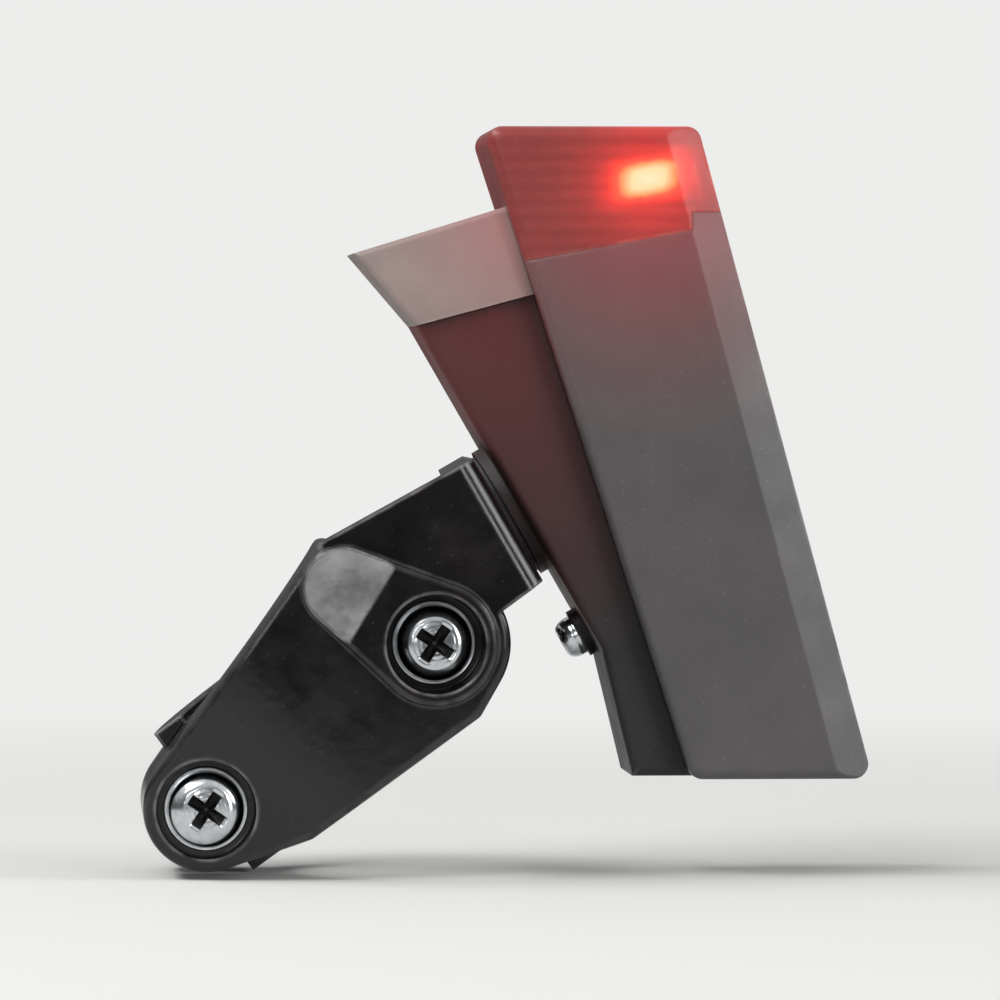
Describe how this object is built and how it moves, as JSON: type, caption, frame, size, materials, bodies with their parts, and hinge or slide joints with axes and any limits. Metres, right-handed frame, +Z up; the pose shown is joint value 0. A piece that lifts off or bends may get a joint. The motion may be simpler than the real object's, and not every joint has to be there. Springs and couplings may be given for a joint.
{
  "type": "bicycle tail light",
  "caption": "Slim upright bicycle tail light with a red lens on top, a wedge foot with a light cap, and a swivelling arm on a tube clamp for a frame stay.",
  "frame": {"origin": "centre of the clamp's bore, on the stay tube's axis midway along the rubber liner", "axes": "+X rearward along the bicycle, +Y inward to the wheel, +Z up; the stay tube leans forward by 36 degrees, so its axis is (-0.588, 0, 0.809)"},
  "size_m": [0.0774, 0.0329, 0.08],
  "materials": {
    "gloss_black_shell": "glass-filled nylon, moulded glossy black",
    "liner_rubber": "soft black rubber",
    "bright_steel": "zinc-plated steel",
    "friction_rubber": "hard black rubber",
    "grey_housing": "satin mid-grey ABS",
    "dark_pod": "dark grey ABS with a fine grain",
    "light_cap": "light warm grey ABS",
    "red_lens": "clear red polycarbonate",
    "window": "clear polycarbonate",
    "reflector_white": "white moulded plastic",
    "led_emitter": "lit red LED package",
    "board_green": "green solder mask",
    "chip_black": "black moulded packages",
    "coil_copper": "enamelled copper wire",
    "bobbin_nylon": "natural nylon",
    "core_iron": "soft iron",
    "store_sleeve": "dark blue sleeve on an aluminium can",
    "lead_insulation": "red insulated wire"
  },
  "bodies": {
    "bracket": {"clamp_outer_shell": "gloss_black_shell", "clamp_inner_shell": "gloss_black_shell", "liner_outer": "liner_rubber", "liner_inner": "liner_rubber", "clamp_screws": "bright_steel", "clamp_washers": "bright_steel", "clamp_nuts": "bright_steel"},
    "carriage": {"swivel_bolt": "bright_steel", "friction_disc": "friction_rubber", "swivel_washer": "bright_steel", "swivel_nut": "bright_steel"},
    "lamp": {"lens_seal": "liner_rubber", "cover_seal": "liner_rubber", "pod_screw": "bright_steel", "cover_screws": "bright_steel", "board_screws": "bright_steel", "housing": "grey_housing", "back_cover": "grey_housing", "pod_shell": "dark_pod", "pod_cap": "light_cap", "lens": "red_lens", "light_window": "window", "reflector": "reflector_white", "led": "led_emitter", "circuit_board": "board_green", "controller_chip": "chip_black", "rectifier_diodes": "chip_black", "coil_winding": "coil_copper", "coil_bobbin": "bobbin_nylon", "iron_core": "core_iron", "storage_capacitor": "store_sleeve", "coil_leads": "lead_insulation", "capacitor_leads": "lead_insulation"}
  },
  "joints": [
    {"name": "reach_slide", "type": "slide", "parent": "bracket", "child": "carriage", "axis": [0, 1, 0], "range_m": [-0.003, 0.003]},
    {"name": "lamp_swivel", "type": "hinge", "parent": "carriage", "child": "lamp", "pos_m": [0.01988, 0, 0.02198], "axis": [0.866, 0, 0.5], "range_deg": [-20, 20]}
  ]
}
